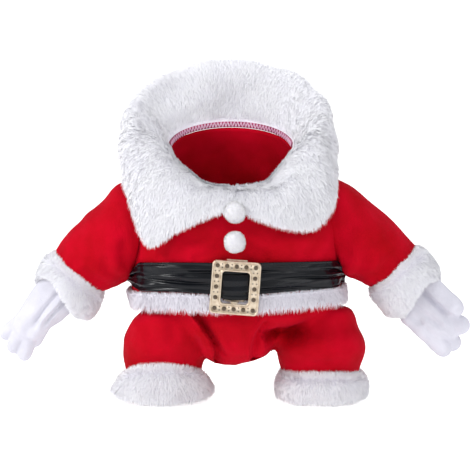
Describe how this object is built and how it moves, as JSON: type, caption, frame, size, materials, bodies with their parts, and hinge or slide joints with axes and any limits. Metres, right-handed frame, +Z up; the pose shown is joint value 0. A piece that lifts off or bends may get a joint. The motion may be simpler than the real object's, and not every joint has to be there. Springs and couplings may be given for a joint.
{
  "type": "dog christmas costume",
  "caption": "Dog's red Christmas suit, filled out as worn: plush collar and trims, pompom buttons, belt with buckle, false arms with gloves, and trousers for the front legs.",
  "frame": {"origin": "middle of the neck opening at the height where the collar is sewn on, which rests on the dog's neck and shoulders", "axes": "+X to the viewer's right as the front is seen, +Y from the front to the back, +Z up out of the neck"},
  "size_m": [0.4144, 0.1704, 0.2944],
  "materials": {
    "red_velour": "short-nap velour, soft sheen",
    "white_plush": "long soft pile",
    "white_fleece": "smooth brushed fleece",
    "black_leatherette": "glossy coated fabric, creased",
    "pale_gold": "polished pale gold plating"
  },
  "bodies": {
    "root": {"jacket_front_left": "red_velour", "jacket_front_right": "red_velour", "jacket_back_left": "red_velour", "jacket_back_right": "red_velour", "sleeve_left": "red_velour", "sleeve_right": "red_velour", "arm_cuff_left": "white_plush", "arm_cuff_right": "white_plush", "glove_left": "white_fleece", "glove_right": "white_fleece", "trouser_front_left": "red_velour", "trouser_front_right": "red_velour", "leg_back_left": "red_velour", "leg_back_right": "red_velour", "leg_cuff_left": "white_plush", "leg_cuff_right": "white_plush", "belt": "black_leatherette", "hem_trim": "white_plush", "buckle": "pale_gold", "pompom_upper": "white_plush", "pompom_lower": "white_plush", "collar_left": "white_plush", "collar_right": "white_plush"}
  },
  "joints": []
}
